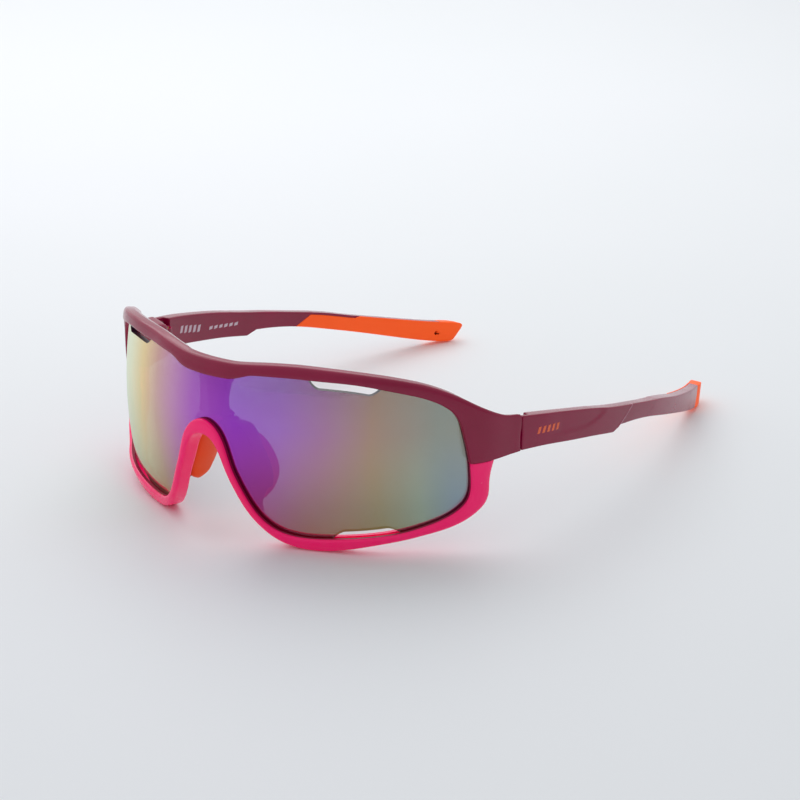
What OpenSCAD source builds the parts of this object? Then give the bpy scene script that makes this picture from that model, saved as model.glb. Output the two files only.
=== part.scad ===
// Wraparound sport sunglasses with one shield lens, a two-tone frame and folding temples.
// Millimetres. Z is up, the wearer looks along -Y, +X is the wearer's left.
// The glasses stand open on a table: lower rim and both temple tips touch z = 0.

/* [Front curve] */
// half width of the ellipse that the front face follows in plan
face_a = 72; // [66:0.5:80]
// depth half axis of that ellipse
face_b = 104; // [80:1:130]
// vertical curvature of the front face
face_k = 0.0059; // [0.003:0.0001:0.009]
// height where the front face is furthest forward
face_z = 27.8; // [22:0.1:34]
// front of the face ahead of the brow origin
face_y = -3.3; // [-5:0.1:0]
// how far the sides of the front swell out of that ellipse
side_bulge = 4; // [0:0.1:5]
// further swell at the corners of the lens
corner_bulge = 1.4; // [0:0.1:2.5]
// how much of the swell is lost again at the hinges
hinge_taper = 2.3; // [0:0.1:4]

/* [Lens] */
// how far the lens sits behind the front face
lens_set = 1.8; // [1.2:0.1:2.5]
// lens thickness
lens_t = 1.6; // [1.2:0.1:2.4]
// lens edge hidden in the groove
lens_hide = 0.9; // [0.5:0.05:1.5]
// depth of the vent notches below the opening edge
vent_depth = 1.5; // [0.5:0.1:3]

/* [Frame] */
// groove clearance around the lens
groove_gap = 0.2; // [0.05:0.05:0.3]
// depth of the back of the brow bar
brow_back = 4.8; // [4.4:0.1:6]

/* [Hinge] */
// hinge axis, across
hinge_x = 62.2; // [60:0.1:64]
// hinge axis, front to back from the brow
hinge_y = 51.3; // [50:0.1:54]
// plane where the temple meets the frame
seam_y = 49.9; // [49:0.1:52]
// radius of the knuckles
knuckle_r = 2.1; // [1.8:0.1:2.6]
// radius of the hinge screw shank
screw_r = 0.75; // [0.6:0.05:1]

/* [Temples] */
// thickness of a temple
temple_t = 3.6; // [3:0.1:4.5]
// thickness of the grip pad on the inside
grip_t = 1.8; // [1.2:0.1:2.4]
// radius of the cord hole through each tip
cord_r = 0.6; // [0.4:0.1:1]

/* [Hidden] */
$fn = 48;
// the brow origin sits this far in front of the middle of the whole length
origin_y = -85.3;
// running clearance of the screw, of the pockets around the knuckles and of the knuckle ends
run = 0.05;
pocket = 0.25;
play = 0.1;
// split heights of the knuckles
knuckle_z = [25.6, 28.5, 31.9, 34.6];
// brass insert: outer radius and its fit in the knuckle
insert_r = 1.25;
fit = 0.02;
// screw head: radius and height, and its slot
head_r = 1.4;
head_h = 0.85;
slot_w = 0.4;
slot_depth = 0.4;
// web between a frame knuckle and the end piece: reach forward and outward
web_y = 1.5;
web_x = 0.6;
// gap that keeps two faces from coinciding
eps = 0.05;
// rounding of the front edges of a bar and set-back of its inner lip
edge = 0.5;
lip = 0.3;
// slant of the outer edge of the rim's back face
rim_slant = 0.4;
// length of the ramp at each end of a vent
vent_ramp = 1.6;
// half length of the lens along the front, its rows and its stations for each half
lens_end = 57.25;
lens_rows = 7;
lens_steps = 44;
// the orange grip: start and end behind the seam, share of the height below the top strip
pad_start = 65;
panel_end = 116.4;
strip = 0.86;
// play between the grip and the panel: along, below the top strip as a share of the height, and across
grip_play = 0.15;
strip_play = 0.03;
grip_gap = 0.1;
// stations of the tip cap
cap_rows = [116.65, 118, 119.5, 121];
cap_end = 122;
// cord hole: length behind the seam and height
cord_s = 114.5;
cord_z = 4;

// ---- curve helpers ----
function clamp01(t) = min(1, max(0, t));
function ease(t) = let (c = clamp01(t)) c * c * (3 - 2 * c);
function mix(a, b, t) = a + (b - a) * t;
function spline1(p0, p1, p2, p3, t) =
    0.5 * (2 * p1 + (p2 - p0) * t + (2 * p0 - 5 * p1 + 4 * p2 - p3) * t * t
    + (3 * p1 - p0 - 3 * p2 + p3) * t * t * t);
// smooth list through the control rows, k points for each span
function smooth(rows, k) = let (n = len(rows) - 1) [
    for (i = [0 : n - 1])
        for (j = [0 : k - 1])
            spline1(rows[max(i - 1, 0)], rows[i], rows[i + 1], rows[min(i + 2, n)], j / k),
    rows[n]];
// value at x from rows [x, value, ...], column c, along straight spans
function at(rows, x, c = 1, i = 0) =
    x <= rows[0][0] ? rows[0][c]
    : i >= len(rows) - 1 ? rows[len(rows) - 1][c]
    : x <= rows[i + 1][0] ? mix(rows[i][c], rows[i + 1][c], (x - rows[i][0]) / (rows[i + 1][0] - rows[i][0]))
    : at(rows, x, c, i + 1);
function reverse(v) = [for (i = [len(v) - 1 : -1 : 0]) v[i]];

// ---- front face ----
function face(u, z) = face_b * (1 - sqrt(1 - pow(u / face_a, 2))) + face_k * pow(z - face_z, 2) + face_y;
function slope(u) = face_b / face_a * (u / face_a) / sqrt(1 - pow(u / face_a, 2));
// direction of the depth, turned to straight across at the hinge ends
function depth_dir(u) = let (s = slope(u), n = norm([s, 1]), t = ease((abs(u) - 56) / 7))
    let (d = [mix(-s / n, -sign(u), t), mix(1 / n, 0, t)]) d / norm(d);
function bulge(u) = side_bulge * ease((abs(u) - 22) / 26) + corner_bulge * ease((abs(u) - 48) / 9)
    - hinge_taper * ease((abs(u) - 57.5) / 5.5);
// point at u across, z up and d behind the front face
function pt(u, z, d) = let (n = depth_dir(u), e = d - bulge(u))
    [u + n[0] * e, origin_y + min(seam_y, face(u, z) + n[1] * e), z];

// tube through stations of equally long point rings, closed at both ends
module tube(rings) {
    n = len(rings[0]);
    m = len(rings);
    polyhedron(
        points = [for (r = rings) for (p = r) p],
        faces = concat(
            [[for (i = [n - 1 : -1 : 0]) i]],
            [for (j = [0 : m - 2]) for (i = [0 : n - 1])
                each [[j * n + i, j * n + (i + 1) % n, (j + 1) * n + i],
                    [j * n + (i + 1) % n, (j + 1) * n + (i + 1) % n, (j + 1) * n + i]]],
            [[for (i = [0 : n - 1]) (m - 1) * n + i]]),
        convexity = 10);
}

// ---- outlines, right half: [u, z] of the opening edge ----
// brow rows: opening u, z, outer u, z, depth of the outer face
brow_rows = [
    [0, 46.1, 0, 50.4, 2.6], [8, 46.5, 8, 50.5, 2.6], [14.3, 47.9, 14.3, 51, 2.6],
    [21.4, 48.3, 21.4, 51.4, 2.6], [30.6, 48.2, 30.6, 51.3, 2.6], [38.5, 47.7, 38.7, 50.6, 2.7], [45.5, 45.7, 46.2, 48.8, 2.8],
    [50.1, 43.5, 51.7, 46, 3], [53.2, 40.6, 55.9, 42.3, 3.4], [54.8, 37.3, 58.7, 38.8, 4],
    [55.4, 34.3, 61.2, 36.2, 5], [55.8, 31.4, 62.9, 34.9, 6], [56.1, 28.9, 62.9, 30.6, 6.6],
    [56.45, 25.2, 62.9, 25.2, 6.8]];
// rim rows: opening u, z, width, depth
rim_rows = [
    [56.45, 25, 2.9, 5.4], [56.5, 19.3, 2.2, 5.2], [55.6, 13.8, 2.5, 5.1], [53, 10.2, 2.6, 5],
    [48.7, 7.4, 2.2, 5], [42, 5.5, 2.3, 5], [34.5, 4.3, 3.3, 5], [27.5, 3.6, 3.6, 5.2],
    [22, 4.3, 3, 5.1], [18, 6.5, 2.2, 4.9], [14.7, 10.4, 2, 4.7], [11.6, 16.4, 2, 4.8],
    [9.2, 21.8, 2, 5.2], [7.4, 27.2, 2.4, 5.6], [4.9, 31.6, 3.3, 6.2], [2.2, 33.6, 4, 6.6],
    [0, 34.1, 4.2, 6.6]];
brow_half = smooth(brow_rows, 3);
rim_half = smooth(rim_rows, 3);
function mirror_row(r, c) = [for (i = [0 : len(r) - 1]) (search(i, c) == [] ? 1 : -1) * r[i]];
brow_path = concat(reverse([for (i = [1 : len(brow_half) - 1]) mirror_row(brow_half[i], [0, 2])]), brow_half);
rim_path = concat([for (r = rim_half) r],
    reverse([for (i = [0 : len(rim_half) - 2]) mirror_row(rim_half[i], [0])]));

// ---- front parts ----
// ring of a grooved bar between an opening edge i and an outer edge o:
// outer face d deep, back face e deep at the fraction f of the way out
function bar_ring(i, o, d, e, f) =
    let (v = (o - i) / norm(o - i), b = o - v * edge, l = i + v * lip, g = i + v * (lens_hide + groove_gap),
        back = lens_set + lens_t + groove_gap, front = lens_set - groove_gap)
    [pt(i[0], i[1], 0), pt(b[0], b[1], 0), pt(o[0], o[1], edge),
        pt(o[0], o[1], d), let (m = mix(i, o, f)) pt(m[0], m[1], e), pt(l[0], l[1], e), pt(l[0], l[1], back),
        pt(g[0], g[1], back),
        pt(g[0], g[1], front), pt(i[0], i[1], front)];

function rim_out(path, j) =
    let (a = path[max(j - 1, 0)], b = path[min(j + 1, len(path) - 1)], t = [b[0] - a[0], b[1] - a[1]])
    [-t[1], t[0]] / norm(t);

module brow_bar() {
    tube([for (r = brow_path) bar_ring([r[0], r[1]], [r[2], r[3]], r[4], max(brow_back, r[4]), 0.6)]);
}

module rim_bar() {
    tube([for (j = [0 : len(rim_path) - 1])
        let (r = rim_path[j], o = rim_out(rim_path, j))
        bar_ring([r[0], r[1]], [r[0] + o[0] * r[2], r[1] + o[1] * r[2]], r[3] - rim_slant, r[3], 0.8)]);
}

module axis_cylinder(r, z0, z1) {
    translate([hinge_x, origin_y + hinge_y, z0])
        cylinder(r = r, h = z1 - z0);
}

// the two outer knuckles with the webs that join them to the end piece
module frame_knuckles() {
    for (i = [0, 2]) {
        axis_cylinder(knuckle_r, knuckle_z[i], knuckle_z[i + 1]);
        translate([hinge_x - knuckle_r, origin_y + seam_y - web_y, knuckle_z[i]])
            cube([knuckle_r + web_x, hinge_y - seam_y + web_y, knuckle_z[i + 1] - knuckle_z[i]]);
    }
}

module frame_end_cuts() {
    axis_cylinder(knuckle_r + pocket, knuckle_z[1], knuckle_z[2]);
    axis_cylinder(screw_r + run, knuckle_z[0] - 1, knuckle_z[2] + 1);
    axis_cylinder(insert_r + fit, knuckle_z[2] - eps, knuckle_z[3] + 1);
}

module brow_frame() {
    color([0.43, 0.15, 0.26])
        difference() {
            union() {
                brow_bar();
                frame_knuckles();
                mirror([1, 0, 0]) frame_knuckles();
            }
            frame_end_cuts();
            mirror([1, 0, 0]) frame_end_cuts();
        }
}

module lower_rim() {
    color([0.9, 0.18, 0.43]) rim_bar();
}

// lens edge rows [u, z] past the opening edge, over the top and along the bottom
lens_up = [for (r = brow_half)
    let (v = [r[2] - r[0], r[3] - r[1]] / norm([r[2] - r[0], r[3] - r[1]]))
    [r[0] + v[0] * lens_hide, r[1] + v[1] * lens_hide]];
lens_low = reverse([for (j = [0 : len(rim_half) - 1])
    let (r = rim_path[j], o = rim_out(rim_path, j))
    [r[0] + o[0] * lens_hide, r[1] + o[1] * lens_hide]]);
// spans of the vents in the top and bottom edges, across
top_vent = [28.8, 42.8];
low_vent = [33, 45.5];
function notch(u, v) = ease((abs(u) - v[0]) / vent_ramp) * ease((v[1] - abs(u)) / vent_ramp);
// stations across the lens, closer together at its ends
lens_half = [for (j = [0 : lens_steps]) lens_end * (1 - pow(1 - j / lens_steps, 1.35))];
lens_u = concat(reverse([for (j = [1 : lens_steps]) -lens_half[j]]), lens_half);

function lens_z(u, t) =
    let (low = at(lens_low, abs(u)) + notch(u, low_vent) * (vent_depth + lens_hide),
        up = at(lens_up, abs(u)) - notch(u, top_vent) * (vent_depth + lens_hide))
    mix(low, up, t);

module lens() {
    color([0.6, 0.4, 0.75, 0.8])
        tube([for (u = lens_u) concat(
            [for (k = [0 : lens_rows]) pt(u, lens_z(u, k / lens_rows), lens_set)],
            [for (k = [lens_rows : -1 : 0]) pt(u, lens_z(u, k / lens_rows), lens_set + lens_t)])]);
}

// ---- nose parts ----
// post rows: z, half width, front depth, back depth
post_rows = [[47.6, 6.6, 4.9, 6.6], [45.9, 6.5, 4.9, 6.8], [45.3, 6.2, 3.6, 6.8], [43, 5.1, 3.6, 6.4],
    [39, 4.5, 3.6, 6.4], [36, 4.5, 3.6, 7], [34.7, 4.8, 3.6, 8.6], [34.25, 4.9, 7, 9], [30.8, 4.4, 7.2, 9]];
// pad rows: z, front edge x and y, back edge x and y, thickness
pad_rows = [[11.3, 11.8, 8, 11.7, 9.4, 0.5], [12, 11.9, 6.6, 11.7, 11.2, 1.2], [14, 11.7, 5.2, 11.8, 13.6, 1.9],
    [16, 11.1, 4.6, 11.7, 14.8, 2.2], [18, 10.4, 4.2, 11.4, 15.2, 2.4], [20, 9.7, 4, 11.1, 15, 2.4],
    [22, 9, 3.9, 10.8, 14.2, 2.3], [24, 8.4, 3.9, 10.3, 13.4, 2.1], [26, 7.9, 4, 9.6, 12.4, 1.8],
    [28, 7.3, 4.8, 8.6, 10.9, 1.4], [29.4, 6.95, 6.4, 7.45, 9.2, 0.5]];
// arm rows: middle of the arm, half thickness, half height
arm_rows = [[3.4, 5, 32.4, 0.8, 1.4], [6.4, 5.9, 31.8, 0.8, 1.8], [9, 7, 29.4, 0.7, 2.2],
    [9.8, 7.8, 26, 0.6, 2.2]];
// plate that carries a pad: its gap to the pad and how deep it reaches
plate_gap = 0.15;
plate_t = 0.9;

module nose_post() {
    tube([for (r = reverse(post_rows)) let (w = r[1], z = r[0], f = r[2], b = r[3])
        [pt(w, z, b), pt(w, z, f + 0.6), pt(w - 0.8, z, f), pt(0, z, f), pt(0.8 - w, z, f),
            pt(-w, z, f + 0.6), pt(-w, z, b), pt(0, z, b)]]);
}

module nose_arm() {
    n = len(arm_rows) - 1;
    tube([for (i = [0 : n])
        let (r = arm_rows[i], a = arm_rows[max(i - 1, 0)], b = arm_rows[min(i + 1, n)],
            d = [b[0] - a[0], b[1] - a[1], b[2] - a[2]], v = cross(d, [0, 1, 0]) / norm(cross(d, [0, 1, 0])))
        [for (k = [0 : 30 : 330])
            [r[0], origin_y + r[1], r[2]] + v * (r[3] * cos(k)) + [0, 1, 0] * (r[4] * sin(k))]]);
}

// point of a pad row: w from the front edge to the back edge, h towards the nose gap
function pad_point(r, w, h) = let (d = [r[3] - r[1], r[4] - r[2]], n = [-d[1], d[0]] / norm(d))
    [mix(r[1], r[3], w) + n[0] * h, origin_y + mix(r[2], r[4], w) + n[1] * h, r[0]];

module pad_plate() {
    tube([for (r = smooth([for (i = [2 : 9]) pad_rows[i]], 2))
        [pad_point(r, 0.2, -plate_gap), pad_point(r, 0.75, -plate_gap),
            pad_point(r, 0.7, -plate_t), pad_point(r, 0.25, -plate_t)]]);
}

module nose_pad() {
    tube([for (r = smooth(pad_rows, 3))
        [for (k = [0 : 15 : 180]) pad_point(r, (1 - cos(k)) / 2, r[5] * pow(sin(k), 0.7))]]);
}

module nose_carrier() {
    color([0.36, 0.13, 0.25]) {
        nose_post();
        nose_arm();
        pad_plate();
        mirror([1, 0, 0]) {
            nose_arm();
            pad_plate();
        }
    }
}

module nose_pad_left() {
    color([0.95, 0.42, 0.22]) nose_pad();
}

module nose_pad_right() {
    color([0.95, 0.42, 0.22]) mirror([1, 0, 0]) nose_pad();
}

// ---- temples ----
// outer face of the temple, across, at length s behind the seam
function temple_x(s) = 66.1 + 0.156 * s - 0.00252 * s * s;
// side rows: length behind the seam, bottom z, top z
side_rows = [[0.1, 25.2, 34.9], [10, 24.2, 33.2], [20, 22.6, 31.2], [30, 20.9, 29], [40.8, 18.7, 26.3],
    [44.8, 19.7, 25.4], [51, 18.8, 24], [62, 16.6, 21.4], [74, 13.2, 18.5], [85, 9.9, 15.3],
    [100, 5.1, 11.2], [112.5, 1.2, 7.9], [121, -0.8, 5.9], [125, -1.4, 4.9]];
// lean of the cross-sections: along Y for each mm of height
function lean(s) = 1.5 * ease((s - 48) / 12) * (1 - ease((s - 74) / 20)) + 0.75 * ease((s - 90) / 20);
function temple_pt(s, across, t) =
    let (h = at(side_rows, s, 2) - at(side_rows, s, 1), reach = lean(s) * h / 2, y = s + reach * (2 * t - 1),
        z = mix(at(side_rows, s - reach, 1), at(side_rows, s + reach, 2), t))
    [temple_x(y) - across, origin_y + seam_y + y, max(0, z)];

function frange(a, b, n) = [for (i = [0 : n]) mix(a, b, i / n)];
temple_front = concat([0.1, 5], frange(10, 38, 7), [40.8, 42.8, 44.8], frange(49, pad_start, 4));
temple_rear = concat([pad_start + 0.1], frange(68, 113, 12), [panel_end]);

// outside and top of a temple ring
function temple_shell(s) = [
    temple_pt(s, 0.5, 0), temple_pt(s, 0, 0.08), temple_pt(s, 0, 0.92), temple_pt(s, 0.5, 1),
    temple_pt(s, temple_t - 0.5, 1), temple_pt(s, temple_t, 0.95), temple_pt(s, temple_t, strip)];
// full ring in front, and ring cut back for the grip below the top strip
function full_ring(s) = concat(temple_shell(s),
    [temple_pt(s, temple_t, 0.1), temple_pt(s, temple_t - 0.5, 0)]);
function cut_ring(s) = concat(temple_shell(s),
    [temple_pt(s, temple_t - grip_t - grip_gap, strip), temple_pt(s, temple_t - grip_t - grip_gap, 0)]);

function grip_ring(s, a, b, lo, up) = [
    temple_pt(s, a, lo), temple_pt(s, a, mix(lo, up, 0.5)), temple_pt(s, a, up),
    temple_pt(s, b - 0.4, up), temple_pt(s, b, up - 0.08), temple_pt(s, b, lo + 0.08), temple_pt(s, b - 0.4, lo)];

module cord_hole() {
    translate([30, origin_y + seam_y + cord_s, cord_z])
        rotate([0, 90, 0])
            cylinder(r = cord_r, h = 40);
}

module temple() {
    color([0.43, 0.15, 0.26])
        difference() {
            union() {
                tube(concat([for (s = temple_front) full_ring(s)], [for (s = temple_rear) cut_ring(s)]));
                axis_cylinder(knuckle_r, knuckle_z[1], knuckle_z[2]);
            }
            axis_cylinder(knuckle_r + pocket, knuckle_z[0] - 2, knuckle_z[1] + play);
            axis_cylinder(knuckle_r + pocket, knuckle_z[2] - play, knuckle_z[3] + 2);
            axis_cylinder(screw_r + run, knuckle_z[0], knuckle_z[3]);
            cord_hole();
        }
}

module temple_grip() {
    color([0.97, 0.42, 0.2])
        difference() {
            tube(concat(
                [for (s = temple_rear) grip_ring(s + grip_play, temple_t - grip_t, temple_t, 0, strip - strip_play)],
                [for (s = cap_rows) grip_ring(s, 0.1, temple_t, 0.02, 0.98)],
                [grip_ring(cap_end, 0.5, temple_t - 0.4, 0.1, 0.9)]));
            cord_hole();
        }
}

module temple_left() {
    temple();
}

module temple_right() {
    mirror([1, 0, 0]) temple();
}

module temple_grip_left() {
    temple_grip();
}

module temple_grip_right() {
    mirror([1, 0, 0]) temple_grip();
}

// ---- hinge hardware ----
module hinge_screw() {
    color([0.75, 0.76, 0.78])
        difference() {
            union() {
                axis_cylinder(screw_r, knuckle_z[0] - 0.1, knuckle_z[3] - 0.2);
                axis_cylinder(head_r, knuckle_z[0] - eps - head_h, knuckle_z[0] - eps);
            }
            translate([hinge_x - 2, origin_y + hinge_y - slot_w / 2, knuckle_z[0] - eps - head_h - 1])
                cube([4, slot_w, 1 + slot_depth]);
        }
}

module hinge_insert() {
    color([0.8, 0.65, 0.35])
        difference() {
            axis_cylinder(insert_r, knuckle_z[2] + fit, knuckle_z[3]);
            axis_cylinder(screw_r + fit, knuckle_z[2] - 1, knuckle_z[3] + 1);
        }
}

module hinge_screw_left() {
    hinge_screw();
}

module hinge_screw_right() {
    mirror([1, 0, 0]) hinge_screw();
}

module hinge_insert_left() {
    hinge_insert();
}

module hinge_insert_right() {
    mirror([1, 0, 0]) hinge_insert();
}

brow_frame();
lower_rim();
lens();
nose_carrier();
nose_pad_left();
nose_pad_right();
temple_left();
temple_right();
temple_grip_left();
temple_grip_right();
hinge_screw_left();
hinge_screw_right();
hinge_insert_left();
hinge_insert_right();
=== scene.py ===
# Wraparound sport sunglasses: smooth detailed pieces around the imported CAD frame.
# Shapes are worked out in millimetres, as in the CAD, and written to meshes in metres.
import math

import bmesh
import bpy
import numpy as np
from mathutils import Matrix, Vector

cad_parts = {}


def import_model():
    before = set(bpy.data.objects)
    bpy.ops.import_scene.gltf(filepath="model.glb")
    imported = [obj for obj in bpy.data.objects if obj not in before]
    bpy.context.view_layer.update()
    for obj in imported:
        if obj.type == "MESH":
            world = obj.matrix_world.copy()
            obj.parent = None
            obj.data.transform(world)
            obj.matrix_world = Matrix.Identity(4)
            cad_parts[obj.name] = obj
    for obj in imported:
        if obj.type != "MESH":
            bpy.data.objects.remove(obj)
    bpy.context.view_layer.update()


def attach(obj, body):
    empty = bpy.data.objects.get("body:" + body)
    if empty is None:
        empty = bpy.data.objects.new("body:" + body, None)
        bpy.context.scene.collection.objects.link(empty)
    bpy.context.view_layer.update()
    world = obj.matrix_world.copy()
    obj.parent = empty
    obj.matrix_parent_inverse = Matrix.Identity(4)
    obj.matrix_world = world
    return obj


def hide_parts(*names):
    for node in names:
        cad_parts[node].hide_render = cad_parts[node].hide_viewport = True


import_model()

MM = 0.001
ORIGIN_Y = -85.3          # brow origin, front to back
SEAM_Y = 49.9             # plane where a temple meets the frame, behind the brow origin
HINGE = (62.2, ORIGIN_Y + 51.3)        # hinge axis, x and y
KNUCKLES = (25.6, 28.3, 30.5, 32.3)    # heights where the knuckles begin and end
SCREW_R = 0.8             # hole for the screw through the knuckles
INSERT_R = 1.27           # hole for the insert in the upper knuckle
LENS_SET, LENS_T = 1.8, 1.6            # lens depth behind the front surface, and its thickness
# front surface: an ellipse across, a parabola up
REACH, HALF_WIDTH = 104.0, 72.0
BOW, BOW_Z, SURFACE_Y = 0.0059, 27.8, -3.3


# ---------------------------------------------------------------- curves and the front surface
def ease(t):
    """Smooth step from 0 to 1."""
    t = np.clip(t, 0.0, 1.0)
    return t * t * (3 - 2 * t)


def mix(a, b, t):
    """Blend from a to b."""
    return a + (b - a) * t


def face(u, z):
    """How far behind the brow origin the front surface is."""
    return REACH * (1 - np.sqrt(1 - (u / HALF_WIDTH) ** 2)) + BOW * (z - BOW_Z) ** 2 + SURFACE_Y


def bulge(u):
    """How far the cheeks of the front swell out, easing back at the seam."""
    a = np.abs(u)
    return 4 * ease((a - 22) / 26) + 1.4 * ease((a - 48) / 9) - 2.3 * ease((a - 57.5) / 5.5)


def seam_u(z):
    """Across where the front surface reaches the seam, for each height."""
    q = (SEAM_Y - SURFACE_Y - BOW * (z - BOW_Z) ** 2) / REACH
    return HALF_WIDTH * np.sqrt(1 - (1 - q) ** 2)


def pt(u, z, d):
    """Points at u across, z up and d behind the front surface."""
    u, z, d = np.broadcast_arrays(np.asarray(u, float), np.asarray(z, float), np.asarray(d, float))
    lim = seam_u(z)
    u = np.clip(u, -lim, lim)
    s = REACH / HALF_WIDTH * (u / HALF_WIDTH) / np.sqrt(1 - (u / HALF_WIDTH) ** 2)
    n = np.sqrt(s * s + 1)
    turn = ease((np.abs(u) - 56) / 7)      # near the seam, depth runs straight inwards
    nx, ny = mix(-s / n, -np.sign(u), turn), mix(1 / n, 0.0, turn)
    length = np.sqrt(nx * nx + ny * ny)
    e = d - bulge(u)
    y = np.minimum(SEAM_Y, face(u, z) + ny / length * e)
    return np.stack([u + nx / length * e, ORIGIN_Y + y, z], -1)


def spline(rows, step):
    """Natural cubic curve through rows, a point every step of the distance in their first two columns."""
    rows = np.asarray(rows, float)
    t = np.concatenate([[0], np.cumsum(np.hypot(*(np.diff(rows[:, :2], axis=0).T)))])
    n = len(t)
    h = np.diff(t)
    m = np.zeros((n, n))
    r = np.zeros((n, rows.shape[1]))
    m[0, 0] = m[-1, -1] = 1
    for i in range(1, n - 1):
        m[i, i - 1:i + 2] = h[i - 1], 2 * (h[i - 1] + h[i]), h[i]
        r[i] = 6 * ((rows[i + 1] - rows[i]) / h[i] - (rows[i] - rows[i - 1]) / h[i - 1])
    k = np.linalg.solve(m, r)
    x = np.linspace(0, t[-1], max(2, int(round(t[-1] / step)) + 1))
    i = np.clip(np.searchsorted(t, x) - 1, 0, n - 2)
    a, b, hh = (t[i + 1] - x)[:, None], (x - t[i])[:, None], h[i][:, None]
    return (k[i] * a ** 3 + k[i + 1] * b ** 3) / (6 * hh) + (rows[i] / hh - k[i] * hh / 6) * a \
        + (rows[i + 1] / hh - k[i + 1] * hh / 6) * b


def both(rows, odd):
    """Rows from the middle out, made into the whole path; the odd columns change sign on the other side."""
    rows = np.asarray(rows, float)
    other = rows[:0:-1].copy()
    other[:, odd] *= -1
    return np.concatenate([other, rows])


ARC = 5      # points on a rounded corner


def soften(poly, radii, steps):
    """Closed 2-D outline with rounded corners: steps[i] extra points along the edge after corner i."""
    n = len(poly)
    ends = []
    for i in range(n):
        p, a, b = poly[i], poly[i - 1], poly[(i + 1) % n]
        da, db = np.linalg.norm(a - p) + 1e-9, np.linalg.norm(b - p) + 1e-9
        r = min(radii[i], 0.48 * da, 0.48 * db)
        ends.append((p + (a - p) / da * r, p + (b - p) / db * r, p))
    out = []
    for i in range(n):
        p0, p1, p = ends[i]
        k = ARC if radii[i] > 0 else 1
        for j in range(k):
            s = j / max(1, k - 1)
            out.append((1 - s) ** 2 * p0 + 2 * s * (1 - s) * p + s * s * p1)
        q = ends[(i + 1) % n][0]
        for j in range(steps[i]):
            out.append(mix(p1, q, (j + 1) / (steps[i] + 1)))
    return np.array(out)


# ---------------------------------------------------------------- meshes
def new_object(name, verts, faces, mats, face_mats, sharp=40):
    """Object from points in millimetres, smooth up to the sharp angle in degrees."""
    me = bpy.data.meshes.new(name)
    me.from_pydata([tuple(v) for v in np.asarray(verts) * MM], [], faces)
    bm = bmesh.new()
    bm.from_mesh(me)
    bmesh.ops.recalc_face_normals(bm, faces=bm.faces)
    bm.to_mesh(me)
    bm.free()
    for m in mats:
        me.materials.append(m)
    for p, k in zip(me.polygons, face_mats):
        p.material_index = int(k)
    me.shade_smooth()
    me.set_sharp_from_angle(angle=math.radians(sharp))
    ob = bpy.data.objects.new(name, me)
    bpy.context.scene.collection.objects.link(ob)
    return ob


class Build:
    """Collects rings and tubes into one mesh."""

    def __init__(self):
        self.v, self.f, self.m = [], [], []

    def loft(self, rings, mats=None):
        """Closed tube through rings of points; mats gives each ring's material for each column."""
        rings = np.asarray(rings, float)
        m, n, _ = rings.shape
        o = len(self.v)
        self.v.extend(rings.reshape(-1, 3))
        for j in range(m - 1):
            for i in range(n):
                k = (i + 1) % n
                self.f.append((o + j * n + i, o + j * n + k, o + (j + 1) * n + k, o + (j + 1) * n + i))
                self.m.append(mats[j][i] if mats else 0)
        self.f.append(tuple(o + i for i in range(n))[::-1])
        self.f.append(tuple(o + (m - 1) * n + i for i in range(n)))
        self.m.extend([0, 0])

    def revolve(self, profile, n=48):
        """Closed profile of (radius, z) turned about the hinge axis."""
        o = len(self.v)
        k = len(profile)
        for j in range(n):
            t = 2 * math.pi * j / n
            self.v.extend(np.array([HINGE[0] + r * math.cos(t), HINGE[1] + r * math.sin(t), z])
                          for r, z in profile)
        for j in range(n):
            a, b = o + j * k, o + ((j + 1) % n) * k
            for i in range(k):
                self.f.append((a + i, a + (i + 1) % k, b + (i + 1) % k, b + i))
                self.m.append(0)

    def knuckle(self, bore, z0, z1):
        """Hinge knuckle with softened edges around a bore."""
        self.revolve([(bore, z0 + 0.15), (bore + 0.15, z0), (1.9, z0), (2.1, z0 + 0.2), (2.1, z1 - 0.2),
                      (1.9, z1), (bore + 0.15, z1), (bore, z1 - 0.15)])

    def mirrored(self):
        """The same build on the wearer's right."""
        other = Build()
        other.v = [np.array(v) * (-1, 1, 1) for v in self.v]
        other.f = [f[::-1] for f in self.f]
        other.m = list(self.m)
        return other

    def add(self, other):
        o = len(self.v)
        self.v.extend(other.v)
        self.f.extend(tuple(i + o for i in f) for f in other.f)
        self.m.extend(other.m)

    def make(self, name, mats):
        return new_object(name, np.array(self.v), self.f, mats, self.m)


# ---------------------------------------------------------------- materials
def srgb(r, g, b):
    """Display colour in 0 to 255 as linear RGBA."""
    c = [x / 255 for x in (r, g, b)]
    return tuple(x / 12.92 if x < 0.04045 else ((x + 0.055) / 1.055) ** 2.4 for x in c) + (1.0,)


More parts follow.
